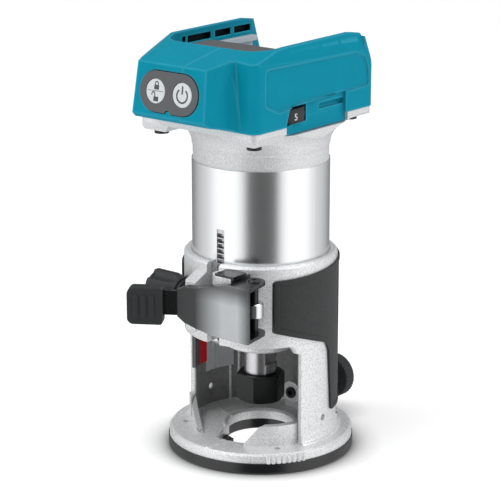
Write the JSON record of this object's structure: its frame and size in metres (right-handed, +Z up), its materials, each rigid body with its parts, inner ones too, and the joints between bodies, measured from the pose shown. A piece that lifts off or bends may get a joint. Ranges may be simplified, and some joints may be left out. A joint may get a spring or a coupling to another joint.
{
  "type": "trim router",
  "caption": "Compact cordless trim router: motor tube clamped in a round cast base, rack depth adjuster, cam lever and a battery bay on top.",
  "frame": {"origin": "motor axis at the underside of the base plate", "axes": "+Z up along the spindle, -Y towards the switch panel, +X towards the speed dial"},
  "size_m": [0.0892, 0.1304, 0.2008],
  "materials": {
    "cast_aluminium": "fine grained casting, clear coated",
    "turned_aluminium": "turned and brushed around the axis",
    "teal_plastic": "fine spark-textured moulding",
    "black_plastic": "fine texture",
    "grip_elastomer": "pebbled soft grip",
    "black_steel": "black coated sheet",
    "black_oxide": "black oxide",
    "steel": "ground",
    "bright_steel": "bright plated",
    "panel_grey": "fine texture",
    "white_plastic": "satin",
    "red_plastic": "satin",
    "light_grey_plastic": "satin",
    "dark_grey_plastic": "fine texture",
    "brass": "satin",
    "copper_wire": "enamelled winding",
    "silicon_steel": "laminated",
    "circuit_board": "coated board"
  },
  "bodies": {
    "base": {"base_plate": "black_plastic", "base_flange": "cast_aluminium", "base_wall": "cast_aluminium", "base_collar": "cast_aluminium", "dark_strip": "dark_grey_plastic", "red_strip": "red_plastic", "scale_strip": "light_grey_plastic", "grip_right": "grip_elastomer", "grip_left": "grip_elastomer", "clamp_saddle": "black_steel", "clamp_bolt": "bright_steel", "clamp_nut": "steel", "plate_screw_front_right": "steel", "plate_screw_front_left": "steel", "plate_screw_rear_right": "steel", "plate_screw_rear_left": "steel"},
    "motor": {"motor_housing": "turned_aluminium", "depth_rack": "steel", "end_bell": "cast_aluminium", "bearing_lower": "steel", "bearing_upper": "steel", "bearing_plate": "cast_aluminium", "stator": "silicon_steel", "stator_coils": "copper_wire", "head_shell_left": "teal_plastic", "head_shell_right": "teal_plastic", "switch_panel": "panel_grey", "button_board": "circuit_board", "dial_post": "dark_grey_plastic", "controller_board": "circuit_board", "terminal_block": "dark_grey_plastic", "terminal_blades": "brass", "battery_rail_right": "light_grey_plastic", "battery_rail_left": "light_grey_plastic", "latch_plate": "light_grey_plastic", "flange_screw_front_right": "black_oxide", "flange_screw_front_left": "black_oxide", "flange_screw_rear_right": "black_oxide", "flange_screw_rear_left": "black_oxide"},
    "spindle": {"spindle_shaft": "steel", "rotor_core": "silicon_steel", "rotor_magnets": "black_oxide", "cooling_fan": "dark_grey_plastic", "collet": "steel", "collet_nut": "black_oxide"},
    "depth_adjuster": {"depth_knob": "black_plastic", "pinion_shaft": "steel"},
    "clamp_lever": {"lever_arm": "black_steel", "lever_tab": "black_plastic", "lever_pin": "black_oxide"},
    "guide_washer": {"guide_washer": "steel"},
    "guide_clamp": {"guide_knob": "black_plastic", "guide_screw": "black_oxide"},
    "lock_button": {"lock_button": "white_plastic"},
    "power_button": {"power_button": "white_plastic"},
    "speed_dial": {"speed_dial": "black_plastic"}
  },
  "joints": [
    {"name": "height_slide", "type": "slide", "parent": "base", "child": "motor", "axis": [0, 0, 1], "range_m": [-0.014, 0.02]},
    {"name": "spindle_spin", "type": "hinge", "parent": "motor", "child": "spindle", "pos_m": [0, 0, 0.05], "axis": [0, 0, 1], "continuous": true},
    {"name": "depth_knob_turn", "type": "hinge", "parent": "base", "child": "depth_adjuster", "pos_m": [0, -0.0363, 0.0805], "axis": [1, 0, 0], "range_deg": [-200, 270]},
    {"name": "lever_swing", "type": "hinge", "parent": "base", "child": "clamp_lever", "pos_m": [0.0257, -0.0363, 0.0805], "axis": [0, 0, 1], "range_deg": [0, 110]},
    {"name": "guide_clamp_travel", "type": "slide", "parent": "base", "child": "guide_washer", "axis": [0, 1, 0], "range_m": [0, 0.004]},
    {"name": "guide_knob_turn", "type": "hinge", "parent": "guide_washer", "child": "guide_clamp", "pos_m": [0, 0.05, 0.0179], "axis": [0, 1, 0], "range_deg": [0, 1450]},
    {"name": "lock_press", "type": "slide", "parent": "motor", "child": "lock_button", "axis": [0, 0.9914, -0.1305], "range_m": [0, 0.0014], "stiffness_N_per_m": 900},
    {"name": "power_press", "type": "slide", "parent": "motor", "child": "power_button", "axis": [0, 0.9914, -0.1305], "range_m": [0, 0.0014], "stiffness_N_per_m": 900},
    {"name": "speed_dial_turn", "type": "hinge", "parent": "motor", "child": "speed_dial", "pos_m": [0.024, -0.0163, 0.1688], "axis": [0, 0, 1], "range_deg": [-45, 180]}
  ],
  "couplings": [
    {"joint": "depth_knob_turn", "follows": "height_slide", "rad_per_m": 209.44},
    {"joint": "guide_knob_turn", "follows": "guide_clamp_travel", "rad_per_m": 6283.2}
  ]
}
